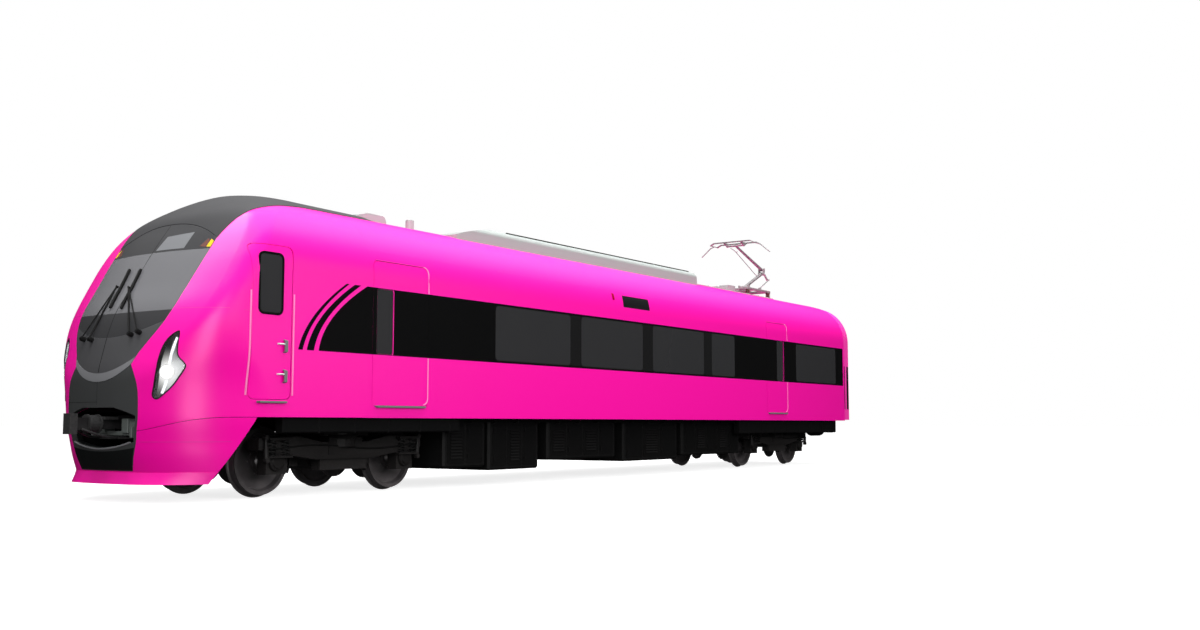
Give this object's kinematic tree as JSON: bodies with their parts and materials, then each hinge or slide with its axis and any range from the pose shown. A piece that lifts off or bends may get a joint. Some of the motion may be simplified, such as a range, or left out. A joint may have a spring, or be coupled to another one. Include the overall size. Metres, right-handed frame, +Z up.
{
  "type": "electric train driving car",
  "caption": "Driving car of an electric express train with a rounded nose, bogies on pivots, wheelsets, cab doors and a single-arm pantograph.",
  "frame": {"origin": "under the middle of the car, at the lowest point of the wheel flanges", "axes": "+X forward along the car, +Y to its left, +Z up"},
  "size_m": [19.5, 3.2, 5.133],
  "materials": {
    "body_paint": "glossy hot pink paint",
    "gangway_rubber": "matt pale pink rubber",
    "dark_paint": "glossy dark grey paint",
    "black_paint": "satin black paint",
    "dark_glass": "tinted glass",
    "lamp_glass": "clear lamp lens",
    "underfloor_paint": "matt black paint",
    "wheel_steel": "dark steel",
    "light_grey_metal": "satin grey metal",
    "lining": "matt grey lining",
    "seat_fabric": "dark woven fabric"
  },
  "bodies": {
    "car_body": {"underframe": "underfloor_paint", "roof": "body_paint", "rear_end_wall": "body_paint", "gangway": "gangway_rubber", "rear_drawbar": "underfloor_paint", "cab_shell": "body_paint", "windscreen": "dark_glass", "front_mask": "dark_paint", "nose_panel": "black_paint", "headlight_left": "lamp_glass", "headlight_right": "lamp_glass", "front_skirt": "body_paint", "roof_hood": "dark_paint", "coupler": "underfloor_paint", "coupler_pocket": "underfloor_paint", "cab_bulkhead": "lining", "driver_desk": "dark_paint", "driver_seat": "seat_fabric", "brake_case": "underfloor_paint", "battery_case": "underfloor_paint", "converter_case": "underfloor_paint", "compressor_case": "underfloor_paint", "inverter_case": "underfloor_paint", "air_conditioner": "light_grey_metal", "aerial_case": "light_grey_metal", "aerial_stub": "light_grey_metal", "roof_case_front": "light_grey_metal", "roof_case_rear": "light_grey_metal", "pantograph_base": "light_grey_metal", "side_wall_left": "body_paint", "window_band_left": "dark_glass", "rear_window_left": "dark_glass", "front_door_left": "body_paint", "front_door_glass_left": "dark_glass", "rear_door_left": "body_paint", "rear_door_glass_left": "dark_glass", "seats_left": "seat_fabric", "side_wall_right": "body_paint", "window_band_right": "dark_glass", "rear_window_right": "dark_glass", "front_door_right": "body_paint", "front_door_glass_right": "dark_glass", "rear_door_right": "body_paint", "rear_door_glass_right": "dark_glass", "seats_right": "seat_fabric"},
    "bogie_front": {"bogie_frame_front": "underfloor_paint"},
    "wheelset_front_leading": {"wheelset_front_leading": "wheel_steel"},
    "wheelset_front_trailing": {"wheelset_front_trailing": "wheel_steel"},
    "bogie_rear": {"bogie_frame_rear": "underfloor_paint"},
    "wheelset_rear_leading": {"wheelset_rear_leading": "wheel_steel"},
    "wheelset_rear_trailing": {"wheelset_rear_trailing": "wheel_steel"},
    "cab_door_left": {"cab_door_left": "body_paint", "cab_door_glass_left": "dark_glass"},
    "cab_door_right": {"cab_door_right": "body_paint", "cab_door_glass_right": "dark_glass"},
    "pantograph_lower": {"pantograph_lower_arm": "light_grey_metal"},
    "pantograph_upper": {"pantograph_upper_arm": "light_grey_metal"},
    "pantograph_head": {"pantograph_head": "light_grey_metal"},
    "pantograph_rod": {"pantograph_coupling_rod": "light_grey_metal"}
  },
  "joints": [
    {"name": "bogie_pivot_front", "type": "hinge", "parent": "car_body", "child": "bogie_front", "pos_m": [6.435, 0, 0.958], "axis": [0, 0, 1], "range_deg": [-4, 4]},
    {"name": "axle_front_leading", "type": "hinge", "parent": "bogie_front", "child": "wheelset_front_leading", "pos_m": [7.585, 0, 0.458], "axis": [0, 1, 0], "continuous": true},
    {"name": "axle_front_trailing", "type": "hinge", "parent": "bogie_front", "child": "wheelset_front_trailing", "pos_m": [5.285, 0, 0.458], "axis": [0, 1, 0], "continuous": true},
    {"name": "bogie_pivot_rear", "type": "hinge", "parent": "car_body", "child": "bogie_rear", "pos_m": [-6.7, 0, 0.958], "axis": [0, 0, 1], "range_deg": [-4, 4]},
    {"name": "axle_rear_leading", "type": "hinge", "parent": "bogie_rear", "child": "wheelset_rear_leading", "pos_m": [-5.55, 0, 0.458], "axis": [0, 1, 0], "continuous": true},
    {"name": "axle_rear_trailing", "type": "hinge", "parent": "bogie_rear", "child": "wheelset_rear_trailing", "pos_m": [-7.85, 0, 0.458], "axis": [0, 1, 0], "continuous": true},
    {"name": "cab_door_hinge_left", "type": "hinge", "parent": "car_body", "child": "cab_door_left", "pos_m": [8.408, 1.34, 1.228], "axis": [0, 0, 1], "range_deg": [0, 85]},
    {"name": "cab_door_hinge_right", "type": "hinge", "parent": "car_body", "child": "cab_door_right", "pos_m": [8.408, -1.34, 1.228], "axis": [0, 0, -1], "range_deg": [0, 85]},
    {"name": "pantograph_raise", "type": "hinge", "parent": "car_body", "child": "pantograph_lower", "pos_m": [-7.3, 0, 4.118], "axis": [0, 1, 0], "range_deg": [-20, 30]},
    {"name": "pantograph_knee", "type": "hinge", "parent": "pantograph_lower", "child": "pantograph_upper", "pos_m": [-8.215, 0, 4.534], "axis": [0, 1, 0], "range_deg": [-56.1, 37.4]},
    {"name": "pantograph_head_pivot", "type": "hinge", "parent": "pantograph_upper", "child": "pantograph_head", "pos_m": [-6.89, 0, 5.058], "axis": [0, 1, 0], "range_deg": [-17.4, 26.1]},
    {"name": "pantograph_rod_pivot", "type": "hinge", "parent": "car_body", "child": "pantograph_rod", "pos_m": [-7.864, 0, 4.129], "axis": [0, 1, 0], "range_deg": [-32, 48]}
  ],
  "couplings": [
    {"joint": "pantograph_knee", "follows": "pantograph_raise", "ratio": -1.87},
    {"joint": "pantograph_head_pivot", "follows": "pantograph_raise", "ratio": 0.87},
    {"joint": "pantograph_rod_pivot", "follows": "pantograph_raise", "ratio": 1.6}
  ]
}
